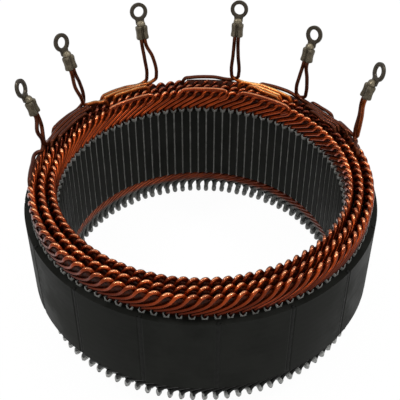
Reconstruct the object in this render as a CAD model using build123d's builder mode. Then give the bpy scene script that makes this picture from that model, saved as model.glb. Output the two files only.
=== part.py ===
from build123d import *
import os
from math import cos, pi, radians, sin, sqrt

# Wound alternator stator: a slotted lamination stack, three rows of hairpins and six leads with ring terminals.
# Millimetres. +Z runs along the bore axis towards the leads, and the origin is the middle of the stack.

# Lamination stack
bore_diameter = 109.2
stack_height = 34.0
slot_count = 96
slots_per_pole = 6
slot_opening = 0.7
tooth_tip_depth = 0.6
back_iron = 2.4
seam_width = 2.4
seam_depth = 0.5

# Winding
wire_diameter = 1.5
layer_gap = 0.18
liner_thickness = 0.15
slot_clearance = 0.1
liner_cuff = 1.2
crown_rise = 9.6
crossover_length = 2.0
row_flare = 0.5
tail_length = 13.0

# Leads and the link wires that lie on the crowns
lead_rest_clearance = 0.1
lead_splay = 2.2
lead_lean = 1.0
link_inset = 0.6

# Ring terminals
stud_hole_diameter = 4.3
ring_diameter = 7.5
ring_sides = 12
plate_thickness = 1.0
neck_width = 3.6
ring_reach = 11.3
barrel_length = 6.6
barrel_width = 5.2
barrel_depth = 3.4
barrel_notch = 0.9
barrel_corner = 0.7
terminal_lean = 16.0

# Each lead: the slot number where its wires turn up, the slot number and the height over the stack of its crimp,
# and how many slots its outer and inner wire run along the crowns, counter-clockwise positive
leads = (
    (44.3, 44.05, 26.3, 3.5, -6.0),
    (37.0, 37.7, 31.0, 5.0, -1.5),
    (29.0, 29.5, 32.7, 6.0, 6.0),
    (20.0, 20.1, 32.2, 5.0, -6.5),
    (12.5, 12.6, 29.0, 5.0, -7.0),
    (4.0, 4.0, 31.7, 4.5, -1.5),
)

# Each link wire on the inner row: its first and last slot number
links = ((29.5, 35.0), (20.5, 26.0), (12.5, 19.0))

# Sizes that follow from the ones above
slot_angle = 360 / slot_count
pole_count = slot_count // slots_per_pole
bore_radius = bore_diameter / 2
layer_pitch = wire_diameter + layer_gap
pack_width = wire_diameter + 2 * liner_thickness
pack_depth = 6 * wire_diameter + 5 * layer_gap + 2 * liner_thickness
slot_width = pack_width + 2 * slot_clearance
slot_mouth_radius = bore_radius + tooth_tip_depth
slot_bottom_radius = slot_mouth_radius + pack_depth + 2 * slot_clearance
# The two slanted lips of a slot would meet inside the bore, at this radius
lip_meeting_radius = bore_radius - tooth_tip_depth * slot_opening / (slot_width - slot_opening)
core_radius = slot_bottom_radius + back_iron
pack_radius = slot_mouth_radius + slot_clearance + pack_depth / 2
stack_top = stack_height / 2
crown_seat = stack_top + liner_cuff
crown_top = stack_top + crown_rise
# A slanted wire is taller than it is wide where an upright plane cuts it
crown_section_height = 1.2 * wire_diameter
# The leads are square bars with the section area of the round wire
square_wire = wire_diameter * sqrt(pi) / 2
run_height = crown_top + crown_section_height / 2 + lead_rest_clearance + wire_diameter / 2

# The rows of hairpins, each two wire layers wide: name, radius, flare, and whether its feet come to a point.
# The feet of the middle row are out of sight between the other two rows
rows = (
    ("outer_hairpins", pack_radius + 2 * layer_pitch, row_flare, False),
    ("middle_hairpins", pack_radius, 0.0, True),
    ("inner_hairpins", pack_radius - 2 * layer_pitch, -row_flare, False),
)
outer_row_radius = rows[0][1] + row_flare
inner_row_radius = rows[2][1] - row_flare

os.makedirs("parts", exist_ok=True)


def save(part, name):
    part.label = name
    export_step(part, f"parts/{name}.step")


def polar(radius, slot, height):
    """A point at a slot number's angle round the bore axis."""
    angle = radians(slot * slot_angle)
    return Vector(radius * cos(angle), radius * sin(angle), height)


# The stack: semi-closed slots from the bore, and one weld groove per pole down the outside
with BuildPart() as lamination_stack:
    with BuildSketch(Plane.XY.offset(-stack_top)):
        Circle(core_radius)
        Circle(bore_radius, mode=Mode.SUBTRACT)
        with PolarLocations(0, slot_count):
            Polygon(
                (lip_meeting_radius, 0),
                (slot_mouth_radius, -slot_width / 2),
                (slot_bottom_radius, -slot_width / 2),
                (slot_bottom_radius, slot_width / 2),
                (slot_mouth_radius, slot_width / 2),
                align=None,
                mode=Mode.SUBTRACT,
            )
        with PolarLocations(0, pole_count, start_angle=slot_angle):
            Polygon(
                (core_radius - seam_depth, 0),
                (core_radius + seam_depth, -seam_width),
                (core_radius + seam_depth, seam_width),
                align=None,
                mode=Mode.SUBTRACT,
            )
    extrude(amount=stack_height)
save(lamination_stack.part, "lamination_stack")

# The straight legs: six wires and their paper liner, set in varnish, down to the welded tips
with BuildPart() as leg_packs:
    with BuildSketch(Plane.XY.offset(-stack_top - tail_length)):
        with PolarLocations(pack_radius, slot_count):
            Rectangle(pack_depth, pack_width)
    extrude(amount=tail_length + stack_height + liner_cuff)
save(leg_packs.part, "leg_packs")


def wire_section(along, radius, height):
    """A crown wire cut by an upright plane."""
    with BuildSketch(Plane.XZ.offset(-along)) as section:
        with Locations((radius, height)):
            Polygon(
                (-wire_diameter / 2, -crown_section_height / 2),
                (wire_diameter / 2, -crown_section_height / 2),
                (0, crown_section_height / 2),
                align=None,
            )
    return section.sketch


def hairpin_crown(row_radius, flare, pointed_feet):
    """One crown: up from the outer layer, across at the top, down to the inner layer one pole on."""
    half_span = pi * slots_per_pole / slot_count
    outer_leg = row_radius + layer_pitch / 2
    inner_leg = row_radius - layer_pitch / 2
    start = (-outer_leg * sin(half_span), outer_leg * cos(half_span))
    end = (inner_leg * sin(half_span), inner_leg * cos(half_span))
    crossing = [
        wire_section(-crossover_length / 2, outer_leg + flare, crown_top),
        wire_section(crossover_length / 2, inner_leg + flare, crown_top),
    ]
    if pointed_feet:
        feet = [Vertex(radius, along, crown_seat) for along, radius in (start, end)]
    else:
        feet = [wire_section(*foot, crown_seat + crown_section_height / 2) for foot in (start, end)]
    with BuildPart() as crown:
        loft(sections=[feet[0], *crossing, feet[1]], ruled=True)
    return crown.part


for row_name, row_radius, flare, pointed_feet in rows:
    one_crown = hairpin_crown(row_radius, flare, pointed_feet)
    # The crowns of a row touch nothing of each other, so they are grouped and not fused
    hairpin_row = Compound(children=[place * one_crown for place in PolarLocations(0, slot_count)])
    save(hairpin_row, row_name)


def bent_wire(points):
    """A square wire along straight runs with mitred bends, starting level."""
    with BuildPart() as wire:
        with BuildLine() as route:
            Polyline(*points)
        with BuildSketch(Plane(origin=route.line @ 0, x_dir=(0, 0, 1), z_dir=route.line % 0)):
            Rectangle(square_wire, square_wire)
        sweep(transition=Transition.RIGHT)
    return wire.part


def terminal_planes(slot, rise):
    """The crimp's lower end, with a plane across the barrel and a plane along the plate."""
    angle = radians(slot * slot_angle)
    lean = radians(terminal_lean)
    outward = Vector(cos(angle), sin(angle), 0)
    tangent = Vector(-sin(angle), cos(angle), 0)
    up = Vector(0, 0, 1)
    foot = polar(outer_row_radius + lead_lean, slot, stack_top + rise)
    across = Plane(origin=foot, x_dir=tangent * -1, z_dir=outward * sin(lean) + up * cos(lean))
    along = Plane(origin=foot, x_dir=tangent * -1, z_dir=outward * -cos(lean) + up * sin(lean))
    return across, along


for number, (slot, crimp_slot, rise, outer_run, inner_run) in enumerate(leads, start=1):
    across, along = terminal_planes(crimp_slot, rise)

    # Two wires come from their layers of the outer row, turn up and meet side by side in the crimp
    lead_wires = []
    for side, run, layer in ((1, outer_run, 1), (-1, inner_run, -1)):
        run_radius = outer_row_radius + layer * layer_pitch / 2
        turn = slot + side * lead_splay / run_radius / radians(slot_angle)
        lead_wires.append(bent_wire([
            polar(run_radius, slot + run, run_height),
            polar(run_radius, slot + run / 2, run_height),
            polar(run_radius, turn, run_height),
            across.from_local_coords((-side * wire_diameter / 2, 0, wire_diameter)),
        ]))
    with BuildPart() as phase_lead:
        add(lead_wires)
        # The wires are cut off flush with the crimp's lower end
        split(bisect_by=across, keep=Keep.BOTTOM)
    save(phase_lead.part, f"phase_lead_{number}")

    # The terminal: a barrel folded over the wires in two lobes, a neck and a ring for the stud
    with BuildPart() as ring_terminal:
        with BuildSketch(across):
            Polygon(
                (-barrel_width / 2, barrel_depth / 2),
                (barrel_width / 2, barrel_depth / 2),
                (barrel_width / 2, barrel_corner - barrel_depth / 2),
                (barrel_width / 4, -barrel_depth / 2),
                (0, barrel_notch - barrel_depth / 2),
                (-barrel_width / 4, -barrel_depth / 2),
                (-barrel_width / 2, barrel_corner - barrel_depth / 2),
                align=None,
            )
        extrude(amount=barrel_length)
        with BuildSketch(along.offset(-barrel_depth / 2)):
            with Locations((0, ring_reach)):
                RegularPolygon(ring_diameter / 2, ring_sides)
            with Locations((0, (ring_reach + barrel_length) / 2)):
                Rectangle(neck_width, ring_reach - barrel_length)
            with Locations((0, ring_reach)):
                Circle(stud_hole_diameter / 2, mode=Mode.SUBTRACT)
        extrude(amount=plate_thickness)
    save(ring_terminal.part, f"ring_terminal_{number}")

# The link wires that join poles over the inner row
for number, (first_slot, last_slot) in enumerate(links, start=1):
    link_radius = inner_row_radius - link_inset
    link = bent_wire([
        polar(link_radius, first_slot, run_height),
        polar(link_radius, (first_slot + last_slot) / 2, run_height),
        polar(link_radius, last_slot, run_height),
    ])
    save(link, f"link_wire_{number}")
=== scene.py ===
# %% [markdown]
# # A wound alternator stator
#
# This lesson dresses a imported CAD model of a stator: a ring of slotted steel sheets, three rows of
# copper hairpins standing out of the top, welded and resin-dipped ends below, and six leads that end
# in crimped ring terminals. The CAD gives every size. Blender adds what makes it look like the real
# thing: round enamelled wire, paper slot liners, grey dip resin, dark varnish and tarnished bronze.

# %% Load the CAD frame
import bpy
from math import cos, pi, radians, sin, tau
import numpy as np
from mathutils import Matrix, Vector


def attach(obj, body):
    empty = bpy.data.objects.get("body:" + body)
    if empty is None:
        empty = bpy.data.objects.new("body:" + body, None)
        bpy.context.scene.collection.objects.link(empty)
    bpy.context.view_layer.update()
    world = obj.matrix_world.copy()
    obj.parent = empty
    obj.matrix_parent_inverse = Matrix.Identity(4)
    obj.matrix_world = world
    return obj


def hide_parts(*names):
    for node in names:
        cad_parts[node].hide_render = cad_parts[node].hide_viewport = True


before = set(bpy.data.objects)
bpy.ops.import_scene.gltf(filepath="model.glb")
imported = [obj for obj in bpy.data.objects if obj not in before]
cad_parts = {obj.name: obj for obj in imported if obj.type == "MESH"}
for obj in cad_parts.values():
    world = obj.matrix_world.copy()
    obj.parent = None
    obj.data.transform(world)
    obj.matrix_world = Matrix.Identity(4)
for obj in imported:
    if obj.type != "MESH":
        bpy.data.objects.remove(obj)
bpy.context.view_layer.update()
print("nodes:", sorted(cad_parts))

# %% [markdown]
# ## Sizes
#
# The CAD is drawn in millimetres and Blender works in metres, so every length below is written in
# millimetres and turned into metres in one place, the function `at`. A winding is easiest to think
# about in slots round the bore, so `at` takes a radius, a slot number and a height.

# %% Sizes from the CAD, in millimetres
MM = 0.001
SLOTS = 96
SLOT_ANGLE = tau / SLOTS
CORE_RADIUS = 68.0
BORE_RADIUS = 54.6
SLOT_MOUTH = 55.2
SLOT_BOTTOM = 65.6
SLOT_WIDTH = 2.0
STACK_TOP = 17.0
STACK_HEIGHT = 2 * STACK_TOP
TIP_DEPTH = 13.0
WIRE = 1.5
LAYERS = 6
LAYER_PITCH = 1.68
PACK_RADIUS = 60.4


def at(radius, slot, height):
    """A point in metres from a radius, a slot number and a height over the stack's top."""
    angle = slot * SLOT_ANGLE
    return np.array((radius * cos(angle), radius * sin(angle), STACK_TOP + height)) * MM


def around(slot):
    """The direction round the bore at a slot, counter-clockwise."""
    angle = slot * SLOT_ANGLE
    return np.array((-sin(angle), cos(angle), 0.0))


print("one slot is", round(CORE_RADIUS * SLOT_ANGLE, 2), "mm wide on the outside")

# %% [markdown]
# ## Round wire
#
# A winding is hundreds of bent round wires. A curve object with a bevel could make them, but a mesh
# lets every wire carry its own number, which the material later turns into a small change of colour.
# So a few helpers do the work: one draws a smooth line through some given points, one sweeps a
# circle along it without twisting, and one makes an object of many such bars.

# %% A smooth line


def smooth_line(points, steps):
    """A line through the points: each stretch is a cubic that keeps its neighbours' direction."""
    points = np.array(points, float)
    gaps = np.linalg.norm(np.diff(points, axis=0), axis=1)
    slopes = np.diff(points, axis=0) / gaps[:, None]
    tangents = np.empty_like(points)
    tangents[0], tangents[-1] = slopes[0], slopes[-1]
    before, after = gaps[:-1, None], gaps[1:, None]
    tangents[1:-1] = (slopes[:-1] * after + slopes[1:] * before) / (before + after)
    line = []
    for i, gap in enumerate(gaps):
        for step in range(steps):
            t = step / steps
            line.append(
                (2 * t**3 - 3 * t**2 + 1) * points[i]
                + (t**3 - 2 * t**2 + t) * gap * tangents[i]
                + (3 * t**2 - 2 * t**3) * points[i + 1]
                + (t**3 - t**2) * gap * tangents[i + 1]
            )
    line.append(points[-1])
    return np.array(line)


# %% Bars
# A direction that no wire starts along
OFF_AXIS = (0.31, 0.17, 0.93)


def bar_faces(rings, sides, flip=False):
    """The faces of a closed bar: rings of corners, joined one to the next, and a cap at each end."""
    first = tuple(range(sides))
    last = tuple(range((rings - 1) * sides, rings * sides))
    faces = [first if flip else first[::-1]]
    for ring in range(rings - 1):
        for side in range(sides):
            a, b = ring * sides + side, ring * sides + (side + 1) % sides
            faces.append((a, a + sides, b + sides, b) if flip else (a, b, b + sides, a + sides))
    faces.append(last[::-1] if flip else last)
    return faces


def round_wire(line, diameter=WIRE, sides=10):
    """A closed round bar along a line of points: its corners and its faces."""
    ahead = np.gradient(line, axis=0)
    ahead /= np.linalg.norm(ahead, axis=1)[:, None]
    across = np.cross(ahead[0], OFF_AXIS)
    turns = np.arange(sides) * tau / sides
    corners = []
    for centre, forward in zip(line, ahead):
        # Carrying the last ring's direction along keeps the bar from twisting
        across = across - forward * across.dot(forward)
        across /= np.linalg.norm(across)
        other = np.cross(forward, across)
        ring = np.outer(np.cos(turns), across) + np.outer(np.sin(turns), other)
        corners.append(centre + ring * diameter / 2 * MM)
    return np.concatenate(corners), bar_faces(len(line), sides)


# %% Pieces
MIDDLE_TONE = 0.5


def add_piece(name, shells, finish, tones=None):
    """One object made of closed shells. A shell or each of its corners may carry a tone, 0 to 1."""
    if tones is None:
        tones = [MIDDLE_TONE] * len(shells)
    corners, faces, tone = [], [], []
    start = 0
    for (shell_corners, shell_faces), shell_tone in zip(shells, tones):
        corners.append(shell_corners)
        faces.extend(tuple(start + corner for corner in face) for face in shell_faces)
        tone.append(np.broadcast_to(shell_tone, len(shell_corners)))
        start += len(shell_corners)
    mesh = bpy.data.meshes.new(name)
    mesh.from_pydata(np.concatenate(corners).tolist(), [], faces)
    attribute = mesh.attributes.new("wire_tone", "FLOAT", "POINT")
    attribute.data.foreach_set("value", np.concatenate(tone).astype(np.float32))
    mesh.polygons.foreach_set("use_smooth", [True] * len(mesh.polygons))
    mesh.materials.append(finish.material)
    piece = bpy.data.objects.new(name, mesh)
    bpy.context.scene.collection.objects.link(piece)
    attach(piece, "root")
    print(f"{name}: {len(shells)} shells, {len(mesh.polygons)} faces")
    return piece


# %% [markdown]
# ## Shared effects
#
# No real surface has one flat colour. Four effects turn up again and again here, so each is a node
# group built once: an uneven coat (soft blotches, as brushed or dipped varnish leaves), specks (dust,
# pits and small bubbles), a dip line (where a bath of resin ended on the way up) and painted
# highlights (the upper side of a wire made lighter, where it would catch the light).

# %% Helpers for nodes


def put(tree, kind, values=None, **settings):
    """A new node with its settings and with numbers on some of its input sockets."""
    node = tree.nodes.new(kind)
    for key, value in settings.items():
        setattr(node, key, value)
    for socket, value in (values or {}).items():
        node.inputs[socket].default_value = value
    return node


def join(tree, *links):
    """Links between nodes, each written as a node and its output, then a node and its input."""
    for source, output, target, socket in links:
        tree.links.new(source.outputs[output], target.inputs[socket])


def new_group(name, inputs, outputs):
    """An empty node group with named number sockets."""
    tree = bpy.data.node_groups.new(name, "ShaderNodeTree")
    kind = "NodeSocketFloat"
    for socket, value in inputs.items():
        made = tree.interface.new_socket(socket, in_out="INPUT", socket_type=kind)
        made.default_value = value
    for socket in outputs:
        tree.interface.new_socket(socket, in_out="OUTPUT", socket_type=kind)
    return tree, put(tree, "NodeGroupInput"), put(tree, "NodeGroupOutput")


# %% Uneven coat
uneven_coat, given, made = new_group(
    "uneven_coat", {"Scale": 200.0, "Low": 0.35, "High": 0.65}, ("Mask", "Height")
)
place = put(uneven_coat, "ShaderNodeTexCoord")
blotches = put(uneven_coat, "ShaderNodeTexNoise", {"Detail": 4.0, "Roughness": 0.6})
spread = put(uneven_coat, "ShaderNodeMapRange", interpolation_type="SMOOTHSTEP")
join(
    uneven_coat,
    (place, "Object", blotches, "Vector"),
    (given, "Scale", blotches, "Scale"),
    (blotches, "Fac", spread, "Value"),
    (given, "Low", spread, "From Min"),
    (given, "High", spread, "From Max"),
    (spread, "Result", made, "Mask"),
    (blotches, "Fac", made, "Height"),
)

# %% Specks
specks, given, made = new_group("specks", {"Scale": 900.0, "Size": 0.18}, ("Mask",))
place = put(specks, "ShaderNodeTexCoord")
cells = put(specks, "ShaderNodeTexVoronoi", {"Randomness": 1.0})
spread = put(
    specks, "ShaderNodeMapRange", {"To Min": 1.0, "To Max": 0.0}, interpolation_type="SMOOTHSTEP"
)
join(
    specks,
    (place, "Object", cells, "Vector"),
    (given, "Scale", cells, "Scale"),
    (cells, "Distance", spread, "Value"),
    (given, "Size", spread, "From Max"),
    (spread, "Result", made, "Mask"),
)

# %% Dip line: 1 below a ragged height, 0 above it
dip_line, given, made = new_group(
    "dip_line", {"Height": 0.0, "Softness": 0.002, "Ragged": 0.002}, ("Mask",)
)
place = put(dip_line, "ShaderNodeTexCoord")
axes = put(dip_line, "ShaderNodeSeparateXYZ")
drips = put(dip_line, "ShaderNodeTexNoise", {"Scale": 320.0, "Detail": 2.0})
shifted = put(dip_line, "ShaderNodeMath", operation="MULTIPLY_ADD")
below = put(dip_line, "ShaderNodeMath", operation="SUBTRACT")
share = put(dip_line, "ShaderNodeMath", operation="DIVIDE", use_clamp=True)
join(
    dip_line,
    (place, "Object", axes, "Vector"),
    (place, "Object", drips, "Vector"),
    (drips, "Fac", shifted, 0),
    (given, "Ragged", shifted, 1),
    (given, "Height", shifted, 2),
    (shifted, "Value", below, 0),
    (axes, "Z", below, 1),
    (below, "Value", share, 0),
    (given, "Softness", share, 1),
    (share, "Value", made, "Mask"),
)

# %% Painted highlights: 1 on upward faces above a height, 0 elsewhere
FACING_SOFTNESS = 0.22
painted_highlights, given, made = new_group(
    "painted_highlights", {"Height": 0.0, "Softness": 0.002, "Facing": 0.74}, ("Mask",)
)
place = put(painted_highlights, "ShaderNodeTexCoord")
axes = put(painted_highlights, "ShaderNodeSeparateXYZ")
facing = put(painted_highlights, "ShaderNodeSeparateXYZ")
above = put(painted_highlights, "ShaderNodeMath", operation="SUBTRACT")
share = put(painted_highlights, "ShaderNodeMath", operation="DIVIDE", use_clamp=True)
fully = put(painted_highlights, "ShaderNodeMath", {1: FACING_SOFTNESS}, operation="ADD")
upward = put(painted_highlights, "ShaderNodeMapRange", interpolation_type="SMOOTHSTEP")
both = put(painted_highlights, "ShaderNodeMath", operation="MULTIPLY")
join(
    painted_highlights,
    (place, "Object", axes, "Vector"),
    (place, "Normal", facing, "Vector"),
    (axes, "Z", above, 0),
    (given, "Height", above, 1),
    (above, "Value", share, 0),
    (given, "Softness", share, 1),
    (facing, "Z", upward, "Value"),
    (given, "Facing", upward, "From Min"),
    (given, "Facing", fully, 0),
    (fully, "Value", upward, "From Max"),
    (share, "Value", both, 0),
    (upward, "Result", both, 1),
    (both, "Value", made, "Mask"),
)
print("groups:", [group.name for group in bpy.data.node_groups])

# %% [markdown]
# ## Finishes
#
# Each material keeps its own Principled shader and takes masks from the shared groups. Numbers that
# are the same all over the surface are set straight on the shader's sockets. The class `Finish` makes
# the shader, and its short methods place a group, mix two colours by a mask and feed the sockets.

# %% A starting point for every finish


class Finish:
    """A material under construction."""

    def __init__(self, name, constants):
        self.material = bpy.data.materials.new(name)
        self.material.use_nodes = True
        self.tree = self.material.node_tree
        self.tree.nodes.clear()
        self.shader = put(self.tree, "ShaderNodeBsdfPrincipled", constants)
        output = put(self.tree, "ShaderNodeOutputMaterial")
        join(self.tree, (self.shader, "BSDF", output, "Surface"))

    def effect(self, group, **values):
        """The outputs of one of the shared groups, with its numbers."""
        return put(self.tree, "ShaderNodeGroup", values, node_tree=group).outputs

    def tone(self):
        """The number that each wire carries."""
        return put(self.tree, "ShaderNodeAttribute", attribute_name="wire_tone").outputs["Fac"]

    def mixed(self, mask, first, second):
        """A colour that goes from first to second as the mask goes from 0 to 1."""
        node = put(self.tree, "ShaderNodeMix", data_type="RGBA")
        self.tree.links.new(mask, node.inputs["Factor"])
        for socket, colour in ((node.inputs[6], first), (node.inputs[7], second)):
            if isinstance(colour, tuple):
                socket.default_value = (*colour, 1.0)
            else:
                self.tree.links.new(colour, socket)
        return node.outputs[2]

    def ranged(self, value, low, high, start=0.0):
        """A value from start to 1 spread between two numbers."""
        numbers = {"From Min": start, "To Min": low, "To Max": high}
        node = put(self.tree, "ShaderNodeMapRange", numbers)
        self.tree.links.new(value, node.inputs["Value"])
        return node.outputs["Result"]

    def feed(self, socket, source):
        """Joins an output to one of the shader's sockets."""
        self.tree.links.new(source, self.shader.inputs[socket])

    def colour(self, source):
        self.feed("Base Color", source)

    def roughness(self, source):
        self.feed("Roughness", source)

    def bump(self, height, distance, strength=1.0):
        """Relief that is up to a distance in millimetres high."""
        numbers = {"Strength": strength, "Distance": distance * MM}
        node = put(self.tree, "ShaderNodeBump", numbers)
        self.tree.links.new(height, node.inputs["Height"])
        self.feed("Normal", node.outputs["Normal"])


# %% Enamelled copper
copper = Finish(
    "enamelled_copper",
    {"Metallic": 0.75, "Coat Weight": 0.1, "Coat Roughness": 0.06, "Specular IOR Level": 0.06},
)
coat = copper.effect(uneven_coat, Scale=260.0, Low=0.3, High=0.7)
grain = copper.effect(uneven_coat, Scale=2600.0)
# Darker colour at the wires' feet just over the stack: partly varnish that gathers there, partly
# painted shade where the wires go into the slots
varnish_and_shade = copper.effect(
    dip_line, Height=(STACK_TOP + 1.4) * MM, Softness=2.8 * MM, Ragged=2.0 * MM
)
# Painted highlights: a lighter colour on the upward faces of the crowns, and a fainter one along the
# tops of the legs
highlight_mask = copper.effect(painted_highlights, Height=(STACK_TOP + 7.9) * MM, Softness=1.2 * MM)
leg_highlight_mask = copper.effect(painted_highlights, Height=(STACK_TOP + 2.0) * MM, Softness=2.0 * MM)
by_wire = copper.mixed(copper.tone(), (0.032, 0.0036, 0.001), (0.42, 0.062, 0.009))
lit_edge = copper.mixed(copper.tone(), (0.12, 0.026, 0.012), (0.56, 0.15, 0.045))
highlight_colour = copper.mixed(copper.tone(), (0.14, 0.026, 0.013), (0.84, 0.37, 0.17))
with_leg_highlights = copper.mixed(leg_highlight_mask["Mask"], by_wire, lit_edge)
with_highlights = copper.mixed(highlight_mask["Mask"], with_leg_highlights, highlight_colour)
blotched = copper.mixed(copper.ranged(coat["Mask"], 0.0, 0.4), with_highlights, (0.10, 0.012, 0.002))
copper.colour(copper.mixed(varnish_and_shade["Mask"], blotched, (0.034, 0.008, 0.004)))
copper.roughness(copper.ranged(coat["Mask"], 0.13, 0.24))
copper.bump(grain["Height"], 0.02)

# %% Set varnish between the wires
set_varnish = Finish("set_varnish", {"Metallic": 0.0, "Specular IOR Level": 0.08})
coat = set_varnish.effect(uneven_coat, Scale=420.0)
drips = set_varnish.effect(uneven_coat, Scale=900.0)
set_varnish.colour(set_varnish.mixed(coat["Mask"], (0.018, 0.004, 0.002), (0.075, 0.014, 0.004)))
set_varnish.roughness(set_varnish.ranged(coat["Mask"], 0.25, 0.45))
set_varnish.bump(drips["Height"], 0.2)

# %% Dark lead wire
dark_wire = Finish(
    "dark_lead_wire",
    {"Metallic": 0.6, "Coat Weight": 0.04, "Coat Roughness": 0.1, "Specular IOR Level": 0.08},
)
coat = dark_wire.effect(uneven_coat, Scale=420.0, Low=0.35, High=0.65)
grain = dark_wire.effect(uneven_coat, Scale=2600.0)
# Painted highlight: a lighter colour on the upward faces of the lead wires high over the stack
highlight_mask = dark_wire.effect(painted_highlights, Height=(STACK_TOP + 10.5) * MM, Softness=0.8 * MM)
by_wire = dark_wire.mixed(dark_wire.tone(), (0.032, 0.008, 0.004), (0.62, 0.13, 0.014))
upper_tones = dark_wire.ranged(dark_wire.tone(), 0.0, 1.0, 0.2)
highlight_colour = dark_wire.mixed(upper_tones, (0.07, 0.016, 0.008), (1.0, 0.56, 0.20))
with_highlights = dark_wire.mixed(highlight_mask["Mask"], by_wire, highlight_colour)
stains = dark_wire.ranged(coat["Mask"], 0.0, 0.35)
dark_wire.colour(dark_wire.mixed(stains, with_highlights, (0.05, 0.014, 0.007)))
dark_wire.roughness(dark_wire.ranged(coat["Mask"], 0.2, 0.34))
dark_wire.bump(grain["Height"], 0.03)

# %% Legs that run down into grey resin: tone 0 is painted like the stack, tone 1 is bare copper
dipped_legs = Finish(
    "dipped_legs", {"Coat Weight": 0.04, "Coat Roughness": 0.2, "Specular IOR Level": 0.1}
)
bath = dipped_legs.effect(
    dip_line, Height=(-STACK_TOP - 4.9) * MM, Softness=1.8 * MM, Ragged=1.8 * MM
)
coat = dipped_legs.effect(uneven_coat, Scale=300.0)
bubbles = dipped_legs.effect(specks, Scale=1100.0, Size=0.25)
# A painted highlight on the upward faces of the legs. This height is below all the legs, so only the
# way that a face points counts
highlight_mask = dipped_legs.effect(painted_highlights, Height=-STACK_HEIGHT * MM, Softness=1.0 * MM, Facing=0.55)
bare = dipped_legs.tone()
dull_copper = dipped_legs.mixed(coat["Mask"], (0.06, 0.010, 0.004), (0.14, 0.026, 0.009))
copper_colour = dipped_legs.mixed(highlight_mask["Mask"], dull_copper, (0.46, 0.115, 0.048))
wire_colour = dipped_legs.mixed(bare, (0.007, 0.007, 0.006), copper_colour)
grey_colour = dipped_legs.mixed(coat["Mask"], (0.085, 0.092, 0.086), (0.17, 0.175, 0.165))
resin_colour = dipped_legs.mixed(bare, (0.009, 0.0095, 0.0085), grey_colour)
dipped_legs.colour(dipped_legs.mixed(bath["Mask"], wire_colour, resin_colour))
dipped_legs.roughness(dipped_legs.ranged(bath["Mask"], 0.3, 0.5))
dipped_legs.feed("Metallic", dipped_legs.ranged(bath["Mask"], 0.8, 0.0))
dipped_legs.bump(bubbles["Mask"], 0.05, 0.4)

# %% Dip resin on the welded tips
resin = Finish("dip_resin", {"Metallic": 0.0, "Coat Weight": 0.2, "Coat Roughness": 0.2})
coat = resin.effect(uneven_coat, Scale=800.0)
bubbles = resin.effect(specks, Scale=1300.0, Size=0.25)
grey = resin.mixed(coat["Mask"], (0.095, 0.1, 0.092), (0.33, 0.335, 0.32))
# Painted light: the paler grey goes on the outer row's tips, by their tone
lit_grey = resin.mixed(coat["Mask"], (0.24, 0.245, 0.23), (0.5, 0.505, 0.485))
tint = resin.mixed(resin.tone(), grey, lit_grey)
resin.colour(resin.mixed(resin.ranged(bubbles["Mask"], 0.0, 0.6), tint, (0.03, 0.03, 0.028)))
resin.roughness(resin.ranged(coat["Mask"], 0.3, 0.5))
resin.bump(coat["Height"], 0.3)

# %% Paper slot liner
paper = Finish("liner_paper", {"Metallic": 0.0, "Specular IOR Level": 0.3})
coat = paper.effect(uneven_coat, Scale=380.0)
fibres = paper.effect(uneven_coat, Scale=3200.0)
paper.colour(paper.mixed(coat["Mask"], (0.165, 0.168, 0.156), (0.31, 0.313, 0.295)))
paper.roughness(paper.ranged(fibres["Mask"], 0.6, 0.85))
paper.bump(fibres["Height"], 0.03)

# %% Varnished lamination steel, with fine bands where groups of sheets catch the light
steel = Finish("varnished_laminations", {"Metallic": 0.0, "Specular IOR Level": 0.03})
coat = steel.effect(uneven_coat, Scale=60.0)
dust = steel.effect(specks, Scale=420.0, Size=0.1)
place = put(steel.tree, "ShaderNodeTexCoord")
bands = put(
    steel.tree,
    "ShaderNodeTexWave",
    {"Scale": 100.0, "Distortion": 0.6, "Detail": 1.0},
    bands_direction="Z",
)
join(steel.tree, (place, "Object", bands, "Vector"))
tint = steel.mixed(coat["Mask"], (0.0104, 0.0110, 0.0094), (0.0178, 0.0186, 0.0165))
steel.colour(steel.mixed(steel.ranged(dust["Mask"], 0.0, 0.25), tint, (0.035, 0.035, 0.033)))
steel.roughness(steel.ranged(coat["Mask"], 0.42, 0.6))
steel.bump(bands.outputs["Fac"], 0.02, 0.6)

# %% Weld seam
seam = Finish("weld_seam", {"Metallic": 0.0, "Specular IOR Level": 0.04})
coat = seam.effect(uneven_coat, Scale=500.0)
pits = seam.effect(specks, Scale=900.0, Size=0.25)
seam.colour(seam.mixed(coat["Mask"], (0.0095, 0.0098, 0.0088), (0.0165, 0.0168, 0.0155)))
seam.roughness(seam.ranged(coat["Mask"], 0.4, 0.6))
seam.bump(pits["Mask"], 0.06, 0.5)

# %% Tarnished terminal
bronze = Finish("tarnished_terminal", {"Metallic": 0.7})
coat = bronze.effect(uneven_coat, Scale=330.0)
fine = bronze.effect(uneven_coat, Scale=1500.0, Low=0.4, High=0.7)
pits = bronze.effect(specks, Scale=1200.0, Size=0.2)
by_part = bronze.mixed(bronze.tone(), (0.030, 0.023, 0.017), (0.22, 0.185, 0.12))
tint = bronze.mixed(bronze.ranged(coat["Mask"], 0.0, 0.6), by_part, (0.060, 0.050, 0.030))
tarnish = bronze.ranged(fine["Mask"], 0.0, 0.55)
bronze.colour(bronze.mixed(tarnish, tint, (0.024, 0.018, 0.013)))
bronze.roughness(bronze.ranged(fine["Mask"], 0.34, 0.58))
bronze.bump(pits["Mask"], 0.05, 0.4)
print("finishes:", [material.name for material in bpy.data.materials if material.use_nodes])

# %% [markdown]
# ## The rows of hairpins
#
# A hairpin leaves its slot, leans over, climbs for three slots, crosses from the outer to the inner
# layer at the top and goes down again three slots further on. A table of points in slots and
# millimetres describes that bend once, and every wire of every row follows it. The wires are bent by
# hand tools, so each is a little off: a seeded generator gives it a small change of height and tone.

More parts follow.
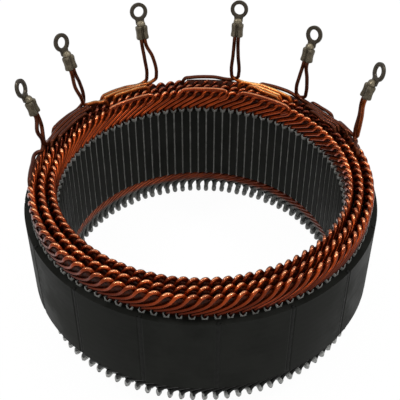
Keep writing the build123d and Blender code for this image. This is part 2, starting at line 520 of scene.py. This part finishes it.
# %% One hairpin's bend: slots along, share of the layer offset, height, share of the row's flare
HAIRPIN = (
    (0.00, 1.0, -3.0, 0.0),
    (0.00, 1.0, 0.7, 0.0),
    (0.08, 1.0, 1.5, 0.1),
    (0.45, 1.0, 2.2, 0.25),
    (0.95, 1.0, 3.0, 0.4),
    (1.45, 1.0, 3.95, 0.6),
    (1.90, 1.0, 5.05, 0.75),
    (2.22, 1.0, 6.2, 0.9),
    (2.43, 1.0, 7.3, 1.0),
    (2.58, 0.95, 8.3, 1.0),
    (2.76, 0.65, 9.2, 1.0),
    (3.00, 0.0, 9.6, 1.0),
    (3.24, -0.65, 9.2, 1.0),
    (3.42, -0.95, 8.3, 1.0),
    (3.58, -1.0, 7.4, 1.0),
    (4.10, -1.0, 6.1, 0.8),
    (4.75, -1.0, 4.6, 0.5),
    (5.40, -1.0, 3.1, 0.25),
    (5.80, -1.0, 2.2, 0.1),
    (5.97, -1.0, 1.5, 0.0),
    (6.00, -1.0, 0.7, 0.0),
    (6.00, -1.0, -3.0, 0.0),
)
HAIRPIN_STEPS = 3
CROWN_HEIGHT = 9.6
CROWN_SLOT = 3

# %% The rows: name, radius, flare, and the lowest and highest tone of their enamel
ROW_FLARE = 0.5
ROWS = (
    ("outer", PACK_RADIUS + 2 * LAYER_PITCH, ROW_FLARE, (0.27, 0.85)),
    ("middle", PACK_RADIUS, 0.0, (0.27, 0.9)),
    ("inner", PACK_RADIUS - 2 * LAYER_PITCH, -ROW_FLARE, (0.5, 1.0)),
)
ROW_RADII = [row_radius for _, row_radius, _, _ in ROWS]
# Darker crowns, near the leads and along one side of the bore: near the leads partly dark varnish
# and partly painted shade under the leads, on the inner row painted shade. Their rows, first and
# last slot, and the share of their tone that is left
BY_THE_LEADS = ("outer", "middle")
DARKENED_CROWNS = (
    (BY_THE_LEADS, 4.5, 13.0, 0.15),
    (BY_THE_LEADS, 20.5, 29.5, 0.35),
    (BY_THE_LEADS, 34.5, 43.5, 0.15),
    (("inner",), 47.5, 51.5, 0.7),
    (("inner",), 51.5, 92.5, 0.45),
    (("inner",), 92.5, 96.0, 0.7),
)
# Up to this height the outer row's feet get darker: painted shade at the foot of the row
SHADED_FEET = 8.0
DEEPEST_FOOT_SHADE, FOOT_CURVE = 0.15, 1.5
# How far a crown may be off, in millimetres of height and in slots
LIFT, SHIFT = 0.15, 0.05
rng = np.random.default_rng(96)

# %% Bend and place every hairpin
for row, row_radius, flare, row_tones in ROWS:
    wires, tones = [], []
    for slot in range(SLOTS):
        lift, shift = rng.uniform(-LIFT, LIFT), rng.uniform(-SHIFT, SHIFT)
        tone = rng.uniform(*row_tones)
        # Darker crowns: painted shade, and near the leads also dark varnish
        for rows, first, last, left in DARKENED_CROWNS:
            if row in rows and first < (slot + CROWN_SLOT) % SLOTS < last:
                tone *= left
        bend = []
        for along, layer, height, share in HAIRPIN:
            near_crown = max(height, 0.0) / CROWN_HEIGHT
            radius = row_radius + layer * LAYER_PITCH / 2 + share * flare
            bend.append(at(radius, slot + along + shift * near_crown, height + lift * near_crown))
        corners, faces = round_wire(smooth_line(bend, HAIRPIN_STEPS))
        # Painted shade: the outer row's feet darken towards the stack
        if row == "outer":
            over_stack = corners[:, 2] / MM - STACK_TOP
            tone = tone * np.clip(over_stack / SHADED_FEET, DEEPEST_FOOT_SHADE, 1.0) ** FOOT_CURVE
        wires.append((corners, faces))
        tones.append(tone)
    piece = add_piece(f"{row}_hairpin_wires", wires, copper, tones)
    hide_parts(f"{row}_hairpins")

# %% [markdown]
# ## Varnish in the rows
#
# After winding, the whole stator is dipped in varnish. It drains off the open wires but stays where
# the two layers of a row almost touch, as a thin dark web, and no daylight shows through a row. The
# web is a wall between the layers whose top edge follows the crowns. Under the leads that lie on the
# outer row it also fills the hollows between the crowns.

# %% A ring wall with a scalloped edge
WEB_HALF = 0.5
WEB_STEPS = 8


def sleeve_faces(order, count):
    """The faces of a closed sleeve: rings of corners, joined in an order that ends at the first."""
    faces = []
    for here, there in zip(order, order[1:] + order[:1]):
        a, b = here * count, there * count
        for corner in range(count):
            beside = (corner + 1) % count
            faces.append((a + corner, a + beside, b + beside, b + corner))
    return faces


def ring_wall(radii, edge_radius, heights, edge):
    """A closed wall: level rings at some heights, and one edge whose height depends on the slot."""
    columns = SLOTS * WEB_STEPS
    levels = len(heights) + 1
    corners = []
    for side in (WEB_HALF, -WEB_HALF):
        for radius, height in zip(radii, heights):
            corners += [at(radius + side, column / WEB_STEPS, height) for column in range(columns)]
        for column in range(columns):
            slot = column / WEB_STEPS
            corners.append(at(edge_radius + side, slot, edge(slot)))
    # Along the outside to the edge, over it, and back along the inside
    order = list(range(levels)) + list(range(2 * levels - 1, levels - 1, -1))
    return np.array(corners), sleeve_faces(order, columns)


def off_slot(slot):
    """How far a place lies from the nearest slot: 0 on it and 1 midway to the next."""
    return abs(slot - round(slot)) * 2


# %% The varnish webs
WEB_HEIGHTS = (-0.5, 1.5, 3.5, 5.5, 7.0)
WEB_TOP, WEB_SCALLOP = 8.9, 1.2
# Where the hollows are filled, as first and last slot, and up to what height
FILLED = ((3.1, 25.2), (28.7, 49.2))
FILLED_TOP = 10.2


def crown_edge(slot):
    """The height of the varnish over the stack, which follows the crowns."""
    return WEB_TOP - WEB_SCALLOP * off_slot(slot)


def filled_edge(slot):
    """The same, with the hollows filled where a lead lies on the crowns."""
    filled = any(first < slot < last for first, last in FILLED)
    return FILLED_TOP if filled else crown_edge(slot)


webs = []
for row, row_radius, flare, _ in ROWS:
    radii = [row_radius + flare * max(height, 0.0) / CROWN_HEIGHT for height in WEB_HEIGHTS]
    edge = filled_edge if row == "outer" else crown_edge
    webs.append(ring_wall(radii, row_radius + flare, WEB_HEIGHTS, edge))
add_piece("varnish_webs", webs, set_varnish)

# %% [markdown]
# ## Paper slot liners
#
# A folded strip of paper lines each slot and keeps the wires off the steel. It stands out at both
# ends as a small cuff. Nothing holds the cuff, so it spreads, and on the bore side, where the two
# edges of the strip meet and stand up into the slot's mouth, it opens into a V. The shape is a thin
# tube: the same outline at several heights, once for the outside and once for the inside, joined at
# the rims.

# %% The liner's outline: radius, share of the half width, and the height of the rim there
LINER_GAP = 0.04
PAPER_THICKNESS = 0.2
inner_end, outer_end = SLOT_MOUTH + LINER_GAP, SLOT_BOTTOM - LINER_GAP
half_width = SLOT_WIDTH / 2 - LINER_GAP
RIDGE = BORE_RADIUS + 0.12
LINER = (
    (RIDGE, 0.0, 1.1),
    (RIDGE, 0.14, 1.15),
    (inner_end, 0.3, 1.2),
    (inner_end, 1.0, 1.4),
    (inner_end + 1.2, 1.0, 1.6),
    (57.5, 1.0, 1.6),
    (60.4, 1.0, 1.6),
    (63.4, 1.0, 1.7),
    (outer_end - 1.2, 1.0, 1.6),
    (outer_end, 1.0, 1.8),
    (outer_end, 0.5, 0.9),
    (outer_end, 0.0, 0.2),
)
outline = list(LINER) + [(radius, -side, rim) for radius, side, rim in LINER[-2:0:-1]]
# How far the cuff spreads sideways at its rim, on the bore side and on the outside
CUFF_SPREAD = (0.32, 0.2)
CUFF_CURVE = 1.3
# Places up the liner as shares of its rim: the lower cuff, the stack's top, the cuff and its rim
STATIONS = (-0.45, 0.0, 0.45, 1.0)
RIM_RANGE = (0.7, 1.08)


def liner(slot, ragged):
    """One slot's liner, as corners and faces, its upper rim scaled by a little."""
    loops = []
    for wall in (0.0, PAPER_THICKNESS):
        for share in STATIONS:
            loop = []
            for radius, side, rim in outline:
                spread = CUFF_SPREAD[0] if radius < PACK_RADIUS else CUFF_SPREAD[1]
                width = (half_width - wall) * side + spread * side * abs(share) ** CUFF_CURVE
                inward = wall if radius <= inner_end else -wall if radius >= outer_end else 0.0
                height = rim * share - STACK_HEIGHT if share < 0 else rim * share * ragged
                loop.append(at(radius + inward, slot, height) + around(slot) * width * MM)
            loops.append(loop)
    # The outside goes up, over the rim, and the inside comes down again
    loops = loops[:len(STATIONS)] + loops[:len(STATIONS) - 1:-1]
    return np.concatenate(loops), sleeve_faces(list(range(len(loops))), len(outline))


liners = [liner(slot, rng.uniform(*RIM_RANGE)) for slot in range(SLOTS)]
add_piece("slot_liners", liners, paper)

# %% [markdown]
# ## The welded end
#
# Below the stack the six legs of a slot lean over too, each layer the other way from its neighbour,
# so that three slots on, the ends of two hairpins stand side by side and are welded together. The
# ends were then dipped in resin. So there are three pieces: the leaning legs, whose colour runs from
# copper to resin at the dip line, the resin webs that fill the corners between them, and the dipped
# tips, a rounded finger over each welded pair. The outer two layers are painted with the stack.

# %% Leaning legs: slots along, depth below the stack
LOWER_BEND = (
    (0.00, -3.0),
    (0.00, 0.7),
    (0.10, 1.5),
    (0.60, 2.5),
    (1.50, 3.9),
    (2.20, 5.1),
    (2.60, 6.1),
    (2.85, 7.4),
    (2.97, 8.8),
    (3.00, 10.0),
    (3.00, 10.6),
)
LOWER_STEPS, LOWER_SIDES = 2, 8
PAINTED_LAYERS = 2

legs, bare_legs = [], []
for layer in range(LAYERS):
    way = 1 if layer % 2 else -1
    leg_radius = PACK_RADIUS + ((LAYERS - 1) / 2 - layer) * LAYER_PITCH
    for slot in range(SLOTS):
        bend = [
            at(leg_radius, slot + way * along, -STACK_HEIGHT - depth) for along, depth in LOWER_BEND
        ]
        legs.append(round_wire(smooth_line(bend, LOWER_STEPS), sides=LOWER_SIDES))
        bare_legs.append(0.0 if layer < PAINTED_LAYERS else 1.0)
lower_legs = add_piece("lower_legs", legs, dipped_legs, bare_legs)
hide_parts("leg_packs")

# %% Resin in the corners where the legs of two layers cross
RESIN_HEIGHTS = [-STACK_HEIGHT - depth for depth in (-0.5, 2.0, 4.0, 5.0)]
RESIN_DEPTH, RESIN_SCALLOP = 8.8, 3.3
RESIN_TONES = (0.0, 0.1, 0.08)


def lower_edge(slot):
    """The height of the resin's lower edge, which reaches down along the tips."""
    return -STACK_HEIGHT - RESIN_DEPTH + RESIN_SCALLOP * off_slot(slot)


fillings = [
    ring_wall([row_radius] * len(RESIN_HEIGHTS), row_radius, RESIN_HEIGHTS, lower_edge)
    for row_radius in ROW_RADII
]
add_piece("resin_webs", fillings, dipped_legs, RESIN_TONES)

# %% Dipped tips: depth below the stack, width, and how far along the radius they reach
FINGER = (
    (9.3, 1.0, 2.4),
    (9.7, 1.4, 2.9),
    (10.2, 1.75, 3.2),
    (10.8, 2.1, 3.3),
    (11.5, 2.2, 3.35),
    (12.05, 2.1, 3.25),
    (12.5, 1.75, 2.9),
    (12.75, 1.1, 2.2),
    (12.8, 0.6, 1.6),
)
FINGER_SIDES = 14
# For each row: where its fingers start, how much they are stretched, and their tone, which is painted
# light: a paler grey on the outer row's tips. The outer pairs were cut shorter before the dip
FINGER_STARTS = (7.5, 9.3, 9.3)
FINGER_STRETCH = ((0.9, 1.02), (0.78, 0.95), (0.86, 1.0))
FINGER_TONES = (1.0, 0.1, 0.0)
TILT = 0.05


def finger(radius, slot, start, stretch, tilt):
    """One dipped pair of welded ends."""
    corners = []
    for depth, width, reach in FINGER:
        along = depth - FINGER[0][0]
        for side in range(FINGER_SIDES):
            turn = side * tau / FINGER_SIDES
            # An oblong: half circles at both ends of a straight middle
            out = cos(turn) * width / 2 + (reach - width) / 2 * np.sign(round(cos(turn), 6))
            middle = at(radius + out, slot, -STACK_HEIGHT - start - along * stretch)
            sideways = sin(turn) * width / 2 + tilt * along
            corners.append(middle + around(slot) * sideways * MM)
    return np.array(corners), bar_faces(len(FINGER), FINGER_SIDES, flip=True)


fingers = []
for row_radius, start, stretches in zip(ROW_RADII, FINGER_STARTS, FINGER_STRETCH):
    for slot in range(SLOTS):
        stretch, tilt = rng.uniform(*stretches), rng.uniform(-TILT, TILT)
        fingers.append(finger(row_radius, slot, start, stretch, tilt))
add_piece("dipped_tips", fingers, resin, np.repeat(FINGER_TONES, SLOTS))

# %% [markdown]
# ## Leads and ring terminals
#
# Two wires rise from the winding to each terminal. Down on the crowns they bend over and run along
# the outer row, some of them in bundles with the jumpers of their phase. The terminal is stamped from
# sheet: a flat ring with a neck, and a barrel whose two wings are rolled over the wires.

# %% Where the leads stand: slot of the crimp, height of the crimp
LEADS = ((44.05, 26.3), (37.7, 31.0), (29.5, 32.7), (20.1, 32.2), (12.6, 29.0), (4.0, 31.7))
LEAN = radians(16.0)
FOOT_RADIUS = 65.26
SLEEVED_WIRE = 1.6
LEAD_SIDES, LEAD_STEPS = 12, 6
RUN_HEIGHT = 11.35
# Each wire: its side of the crimp, its bulge halfway up (slots), its tones up the riser and along the
# crowns, and its way along the crowns as slots and radii
RUNS = (
    ((1, 0.5, 0.05, 0.04, ((44.4, 63.3), (45.3, 64.8), (47.0, 64.7), (49.5, 64.6))),
     (-1, 0.4, 0.1, 0.1, ((44.2, 63.2), (41.3, 63.4), (36.5, 63.6)))),
    ((-1, 0.25, 0.06, 0.05, ((36.55, 65.8), (39.2, 65.1), (41.5, 65.1))),
     (1, 0.3, 0.14, 0.4, ((36.95, 64.8), (35.6, 63.2), (34.7, 61.6)))),
    ((1, 0.05, 0.08, 0.3, ((29.3, 65.2), (31.8, 65.1), (34.5, 65.1))),
     (-1, 0.3, 0.14, 0.45, ((28.3, 65.0), (30.5, 63.5), (34.5, 63.4)))),
    ((-1, 0.05, 0.03, 0.06, ((19.75, 65.1), (22.5, 65.1), (25.5, 64.6))),
     (1, 0.1, 0.08, 0.75, ((20.5, 65.0), (17.0, 63.4), (13.5, 62.0)))),
    ((-1, 0.13, 0.05, 0.12, ((12.2, 65.1), (14.5, 65.3), (17.5, 65.1))),
     (1, 0.15, 0.08, 0.08, ((13.3, 64.6), (11.5, 63.4), (8.3, 62.9), (5.5, 64.0)))),
    ((-1, 0.08, 0.32, 0.06, ((4.25, 65.3), (6.0, 64.5), (7.5, 64.5))),
     (1, 0.08, 0.1, 0.12, ((4.4, 64.2), (3.5, 63.2), (2.5, 62.8)))),
)
# Jumpers that lie in the bundles: lead, tone, and way along the crowns
JUMPERS = (
    (1, 0.08, ((43.5, 61.7), (41.3, 61.8), (36.5, 62.0))),
    (1, 0.06, ((42.5, 60.2), (41.0, 60.2), (37.5, 60.4))),
    (3, 0.5, ((29.5, 61.8), (31.8, 61.8), (33.5, 61.8))),
    (4, 0.95, ((19.5, 63.2), (17.0, 61.8), (14.5, 60.5))),
    (4, 0.55, ((18.5, 61.4), (17.0, 60.2), (14.5, 58.9))),
    (5, 0.05, ((11.5, 65.1), (10.2, 65.1), (8.5, 65.1))),
    (5, 0.07, ((11.5, 61.8), (8.3, 61.3), (6.5, 62.3))),
    (5, 0.05, ((10.5, 60.2), (8.3, 59.7), (6.5, 60.6))),
)

# %% Helpers for leads
# How far a wire reaches into the crimp and keeps straight below it
IN_CRIMP, BELOW_CRIMP = 3.0, 1.5
# The height of a riser's bulge, as a share of the heights of crimp and run added together
BULGE_SHARE = 0.53
# The bend at a riser's foot: slots along, height over the run
FOOT_BEND = ((0.0, 3.0), (0.08, 1.1), (0.45, 0.0))
# The bend at the end of a run: slots before the end, depth below the run
RUN_END = ((0.7, 0.0), (0.22, 0.25), (0.0, 1.4), (0.0, 4.5))
# The middle of a lead lies a little over the others, and that of a jumper a little under them
LEAD_OVER, JUMPER_UNDER = 0.05, 0.1


def lead_frame(slot, rise):
    """The crimp's lower end and its directions: sideways, along the barrel, out of the plate."""
    outward = np.array((cos(slot * SLOT_ANGLE), sin(slot * SLOT_ANGLE), 0.0))
    up = np.array((0.0, 0.0, 1.0))
    along = outward * sin(LEAN) + up * cos(LEAN)
    normal = up * sin(LEAN) - outward * cos(LEAN)
    return at(FOOT_RADIUS, slot, rise), -around(slot), along, normal


def run_end(slot, way, radius):
    """The last bend of a run, down between two crowns."""
    end = round(slot - 0.5) + 0.5
    return [at(radius, end - way * before, RUN_HEIGHT - drop) for before, drop in RUN_END]


def lead_wire(crimp_slot, rise, side, bulge, riser_tone, run_tone, track):
    """One wire from the crimp down to the crowns and along them, and its tone at each corner."""
    foot, sideways, along, _ = lead_frame(crimp_slot, rise)
    (base, base_radius), (end, end_radius) = track[0], track[-1]
    way = 1 if end > base else -1
    entry = foot - sideways * side * SLEEVED_WIRE / 2 * MM
    points = [entry + along * IN_CRIMP * MM, entry, entry - along * BELOW_CRIMP * MM]
    halfway = (base + crimp_slot) / 2 + side * bulge
    points.append(at((base_radius + FOOT_RADIUS) / 2, halfway, (rise + RUN_HEIGHT) * BULGE_SHARE))
    # The riser's tone goes over to the run's tone in the bend at the foot
    bend_start = len(points) * LEAD_STEPS
    points += [at(base_radius, base + way * on, RUN_HEIGHT + over) for on, over in FOOT_BEND]
    points += [at(radius, slot, RUN_HEIGHT + LEAD_OVER) for slot, radius in track[1:-1]]
    line = smooth_line(points + run_end(end, way, end_radius), LEAD_STEPS)
    share = np.clip((np.arange(len(line)) - bend_start) / (2 * LEAD_STEPS), 0.0, 1.0)
    tone = np.repeat(riser_tone + (run_tone - riser_tone) * share, LEAD_SIDES)
    return round_wire(line, SLEEVED_WIRE, LEAD_SIDES), tone


def jumper(track):
    """A wire of a bundle: up between two crowns, along, and down again."""
    (start, start_radius), (end, end_radius) = track[0], track[-1]
    way = 1 if end > start else -1
    points = run_end(start, -way, start_radius)[::-1]
    points += [at(radius, slot, RUN_HEIGHT - JUMPER_UNDER) for slot, radius in track[1:-1]]
    line = smooth_line(points + run_end(end, way, end_radius), LEAD_STEPS)
    return round_wire(line, sides=LEAD_SIDES)


# %% Bend the leads
for number, ((crimp_slot, rise), runs) in enumerate(zip(LEADS, RUNS), start=1):
    bundle = [(tone, track) for lead, tone, track in JUMPERS if lead == number]
    wires, tones = zip(*(lead_wire(crimp_slot, rise, *run) for run in runs))
    wires = list(wires) + [jumper(track) for _, track in bundle]
    tones = list(tones) + [tone for tone, _ in bundle]
    piece = add_piece(f"lead_wires_{number}", wires, dark_wire, tones)
    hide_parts(f"phase_lead_{number}")

# %% Link wires on the inner row: first and last slot
LINKS = ((29.6, 35.0), (20.7, 25.8), (12.7, 18.8))
# Both ends turn down and follow the inner legs: slots past the first or last slot, radius, height
LINK_START = (
    (0.8, 55.1, 6.6),
    (0.25, 55.1, 7.9),
    (-0.08, 55.3, 8.9),
    (-0.15, 55.6, 9.9),
    (0.25, 55.9, 10.75),
    (0.8, 55.9, 10.9),
)
LINK_MIDDLE = (0.0, 55.9, 10.9)
LINK_END = (
    (-0.6, 55.9, 10.9),
    (-0.1, 55.9, 10.7),
    (0.2, 55.5, 9.8),
    (0.55, 55.1, 8.3),
    (1.1, 55.1, 6.9),
)
LINK_STEPS = 5
LINK_TONE = 0.45
for number, (first, last) in enumerate(LINKS, start=1):
    stretches = ((first, LINK_START), ((first + last) / 2, (LINK_MIDDLE,)), (last, LINK_END))
    points = [
        at(radius, slot + past, height) for slot, bend in stretches for past, radius, height in bend
    ]
    wire = round_wire(smooth_line(points, LINK_STEPS), sides=LEAD_SIDES)
    piece = add_piece(f"round_link_{number}", [wire], copper, [LINK_TONE])
    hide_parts(f"link_wire_{number}")

# %% The stamped plate: a ring and a neck, drawn as one outline round the stud hole
STUD_RADIUS, RING_RADIUS = 2.15, 3.7
RING_REACH, BARREL_LENGTH, NECK_WIDTH = 11.3, 6.6, 3.6
# The neck runs on into the barrel
NECK_OVERLAP = 1.0
PLATE = (-1.7, -0.7)
PLATE_SIDES = 56


def plate():
    """The ring and neck, in the terminal's own directions, in millimetres."""
    corners, faces = [], []
    for side in range(PLATE_SIDES):
        turn = side * tau / PLATE_SIDES - pi / 2
        x, y = cos(turn), sin(turn)
        reach = RING_RADIUS
        if y < 0:
            to_side = NECK_WIDTH / 2 / max(abs(x), 1e-6)
            to_end = (RING_REACH - BARREL_LENGTH + NECK_OVERLAP) / -y
            reach = max(reach, min(to_side, to_end))
        for size in (reach, STUD_RADIUS):
            corners += [(x * size, y * size + RING_REACH, height) for height in PLATE]
        a, b = side * 4, (side + 1) % PLATE_SIDES * 4
        for here, there in ((0, 1), (1, 3), (3, 2), (2, 0)):
            faces.append((a + here, b + here, b + there, a + there))
    return np.array(corners), faces


# %% The rolled barrel: half of its outline
BARREL_HALF = (
    (0.0, -1.68), (1.2, -1.68), (2.1, -1.55), (2.5, -1.1), (2.58, -0.3), (2.5, 0.6),
    (2.15, 1.3), (1.5, 1.66), (0.85, 1.55), (0.4, 1.1), (0.12, 0.6),
)
barrel_outline = list(BARREL_HALF) + [(-x, z) for x, z in BARREL_HALF[:0:-1]]
# Stations along the wire: distance, and a size for width and depth
BARREL_STATIONS = (
    (0.02, 0.9, 0.93), (0.15, 0.97, 1.0), (0.8, 1.0, 1.0), (2.0, 0.95, 0.9), (3.2, 0.94, 0.9),
    (4.4, 0.98, 1.0), (5.1, 0.97, 1.0), (5.5, 0.9, 0.9), (5.65, 0.8, 0.75),
)


def barrel():
    """The two wings rolled over the wires, in the terminal's own directions, in millimetres."""
    corners = [
        (x * wide, y, z * deep) for y, wide, deep in BARREL_STATIONS for x, z in barrel_outline
    ]
    return np.array(corners), bar_faces(len(BARREL_STATIONS), len(barrel_outline), flip=True)


# %% The solder over the wire ends, between barrel and neck: distance, half width, height of its top
SOLDER = (
    (4.9, 1.3, 0.9), (5.4, 1.75, 1.25), (6.1, 1.9, 1.35), (6.7, 1.85, 1.1), (7.2, 1.6, 0.7),
    (7.6, 1.2, 0.3), (7.75, 0.7, 0.0),
)
SOLDER_FLOOR = PLATE[0] + 0.2
SOLDER_SIDES = 14


def solder():
    """A rounded lump on the plate, in the terminal's own directions, in millimetres."""
    corners = []
    for y, half, top in SOLDER:
        middle, reach = (top + SOLDER_FLOOR) / 2, (top - SOLDER_FLOOR) / 2
        for side in range(SOLDER_SIDES):
            turn = side * tau / SOLDER_SIDES
            corners.append((half * cos(turn), y, middle + reach * sin(turn)))
    return np.array(corners), bar_faces(len(SOLDER), SOLDER_SIDES, flip=True)


# %% Place the terminals
# Tones of plate, barrel and solder
TERMINAL_TONES = (0.06, 0.5, 0.85)
EDGE_ROUNDING, EDGE_SEGMENTS, EDGE_ANGLE = 0.22, 2, radians(35)
for number, (crimp_slot, rise) in enumerate(LEADS, start=1):
    foot, *directions = lead_frame(crimp_slot, rise)
    shells = [
        (foot + corners @ np.array(directions) * MM, faces)
        for corners, faces in (plate(), barrel(), solder())
    ]
    piece = add_piece(f"crimped_ring_{number}", shells, bronze, TERMINAL_TONES)
    rounding = piece.modifiers.new("stamped_edges", "BEVEL")
    rounding.width, rounding.segments = EDGE_ROUNDING * MM, EDGE_SEGMENTS
    rounding.angle_limit = EDGE_ANGLE
    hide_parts(f"ring_terminal_{number}")

# %% [markdown]
# ## The lamination stack
#
# The stack's CAD solid is already right, so it stays and only gets its finish. The sheets are held
# together by welds in grooves down the outside. Each weld is a flat bead with a little ripple and a
# blob where the torch started, at the top edge.

# %% Finish the stack
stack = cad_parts["lamination_stack"]
stack.data.materials.clear()
stack.data.materials.append(steel.material)

# %% Lay the welds
SEAMS = 16
FIRST_SEAM = 1
SEAM_HALF, SEAM_FLOOR, SEAM_FACE = 1.05, 67.5, 67.93
# The bead's section: share of its half width, share of its height
BEAD = ((-1.0, 0.0), (-0.75, 0.75), (0.0, 1.0), (0.75, 0.75), (1.0, 0.0), (0.0, -0.2))
RIPPLES, RIPPLE_DEPTH = 60, 0.1
BLOB_RADIUS, BLOB_SIZE, BLOB_STEPS = 67.1, 1.3, 6
BLOB_SPAN = (-0.6, 0.15)


def weld(slot):
    """A flat bead as wide as its groove, with a rippled face."""
    corners = []
    for height in np.linspace(0.0, -STACK_HEIGHT, RIPPLES):
        rise = SEAM_FACE - rng.uniform(0.0, RIPPLE_DEPTH) - SEAM_FLOOR
        for side, share in BEAD:
            middle = at(SEAM_FLOOR + rise * share, slot, height)
            corners.append(middle + around(slot) * side * SEAM_HALF * MM)
    return np.array(corners), bar_faces(RIPPLES, len(BEAD))


beads = []
for number in range(SEAMS):
    slot = FIRST_SEAM + number * SLOTS / SEAMS
    beads.append(weld(slot))
    blob = smooth_line([at(BLOB_RADIUS, slot, height) for height in BLOB_SPAN], BLOB_STEPS)
    beads.append(round_wire(blob, BLOB_SIZE))
add_piece("weld_seams", beads, seam)

# %% [markdown]
# ## Floor, light and camera
#
# The object stands on a pale floor in soft studio light. The white behind it is the floor's and the
# world's own colour as the camera and reflections see it, so it costs the object no extra light, and
# the floor still takes a faint shadow. The camera's place and lens come from fitting the circles of
# the stack to the picture, which is 400 by 400 pixels.

# %% Floor
FLOOR_HEIGHT = (-STACK_TOP - TIP_DEPTH) * MM - 0.0001
FLOOR_HALF = 6.0
FLOOR_CORNERS = ((-1, -1), (1, -1), (1, 1), (-1, 1))
floor_mesh = bpy.data.meshes.new("floor")
floor_mesh.from_pydata(
    [(x * FLOOR_HALF, y * FLOOR_HALF, FLOOR_HEIGHT) for x, y in FLOOR_CORNERS], [], [(0, 1, 2, 3)]
)
floor = bpy.data.objects.new("floor", floor_mesh)
bpy.context.scene.collection.objects.link(floor)
print("floor at", round(FLOOR_HEIGHT / MM, 1), "mm")

# %% Floor material: white to the camera and in reflections, matte grey to the light
FLOOR_GREY = (0.85, 0.85, 0.85, 1.0)
FLOOR_WHITE = 1.02
# The rest of what the camera sees is the matte floor, with the shadow on it
WHITE_SHARE = 0.95


def seen_directly(tree):
    """A light path, and a number that is 1 for what the camera or a reflection sees."""
    path = put(tree, "ShaderNodeLightPath")
    seen = put(tree, "ShaderNodeMath", operation="MAXIMUM")
    join(tree, (path, "Is Camera Ray", seen, 0), (path, "Is Glossy Ray", seen, 1))
    return path, seen


floor_material = bpy.data.materials.new("pale_floor")
floor_material.use_nodes = True
tree = floor_material.node_tree
tree.nodes.clear()
matte = put(tree, "ShaderNodeBsdfDiffuse", {"Color": FLOOR_GREY})
white = put(tree, "ShaderNodeEmission", {"Strength": FLOOR_WHITE})
_, seen = seen_directly(tree)
share = put(tree, "ShaderNodeMath", {1: WHITE_SHARE}, operation="MULTIPLY")
blend = put(tree, "ShaderNodeMixShader")
output = put(tree, "ShaderNodeOutputMaterial")
join(
    tree,
    (seen, "Value", share, 0),
    (share, "Value", blend, "Fac"),
    (matte, "BSDF", blend, 1),
    (white, "Emission", blend, 2),
    (blend, "Shader", output, "Surface"),
)
floor_mesh.materials.append(floor_material)

# %% World: white to the camera and in reflections, soft grey as a light
WHITE = (1.0, 1.0, 1.0, 1.0)
WORLD_LIGHT = 0.34
scene = bpy.context.scene
scene.world = bpy.data.worlds.new("studio")
scene.world.use_nodes = True
tree = scene.world.node_tree
tree.nodes.clear()
light = put(tree, "ShaderNodeBackground", {"Color": WHITE, "Strength": WORLD_LIGHT})
white = put(tree, "ShaderNodeBackground", {"Color": WHITE, "Strength": 1.0})
path, seen = seen_directly(tree)
seen_through = put(tree, "ShaderNodeMath", operation="MAXIMUM")
blend = put(tree, "ShaderNodeMixShader")
output = put(tree, "ShaderNodeOutputWorld")
join(
    tree,
    (seen, "Value", seen_through, 0),
    (path, "Is Transmission Ray", seen_through, 1),
    (seen_through, "Value", blend, "Fac"),
    (light, "Background", blend, 1),
    (white, "Background", blend, 2),
    (blend, "Shader", output, "Surface"),
)
scene.view_settings.view_transform = "Standard"

# %% Lamps: name, place and size in metres, power in watts
LAMPS = (
    ("top", (0.0, 0.2, 0.95), 0.7, 2.0),
    ("left", (-0.55, 0.1, 0.8), 0.2, 2.8),
    ("right", (0.55, 0.1, 0.8), 0.2, 2.8),
    ("front", (0.1, -0.9, 0.55), 0.35, 1.4),
)
for name, place, size, power in LAMPS:
    lamp = bpy.data.lights.new(name, "AREA")
    lamp.shape, lamp.size, lamp.energy = "DISK", size, power
    holder = bpy.data.objects.new(name, lamp)
    holder.location = place
    holder.rotation_euler = (-Vector(place)).to_track_quat("-Z", "Y").to_euler()
    scene.collection.objects.link(holder)
print("lamps:", [name for name, *_ in LAMPS])

# %% Camera
CAMERA_PLACE = (-0.287, -245.92, 224.47)
CAMERA_AIM = (-0.286, 0.0, 12.67)
CAMERA_TURN = radians(-1.15)
LENS, SENSOR = 74.23, 36.0
NEAREST = 0.01


def turned(point):
    """A camera point turned from the picture's direction to the CAD's, in metres."""
    x, y, z = point
    c, s = cos(CAMERA_TURN), sin(CAMERA_TURN)
    return Vector((x * c - y * s, x * s + y * c, z)) * MM


camera = bpy.data.objects.new("camera", bpy.data.cameras.new("camera"))
camera.data.lens, camera.data.sensor_width, camera.data.sensor_fit = LENS, SENSOR, "HORIZONTAL"
camera.data.clip_start = NEAREST
camera.location = turned(CAMERA_PLACE)
view = turned(CAMERA_AIM) - turned(CAMERA_PLACE)
camera.rotation_euler = view.to_track_quat("-Z", "Y").to_euler()
scene.collection.objects.link(camera)
scene.camera = camera
print("camera", round(view.length / MM), "mm away")
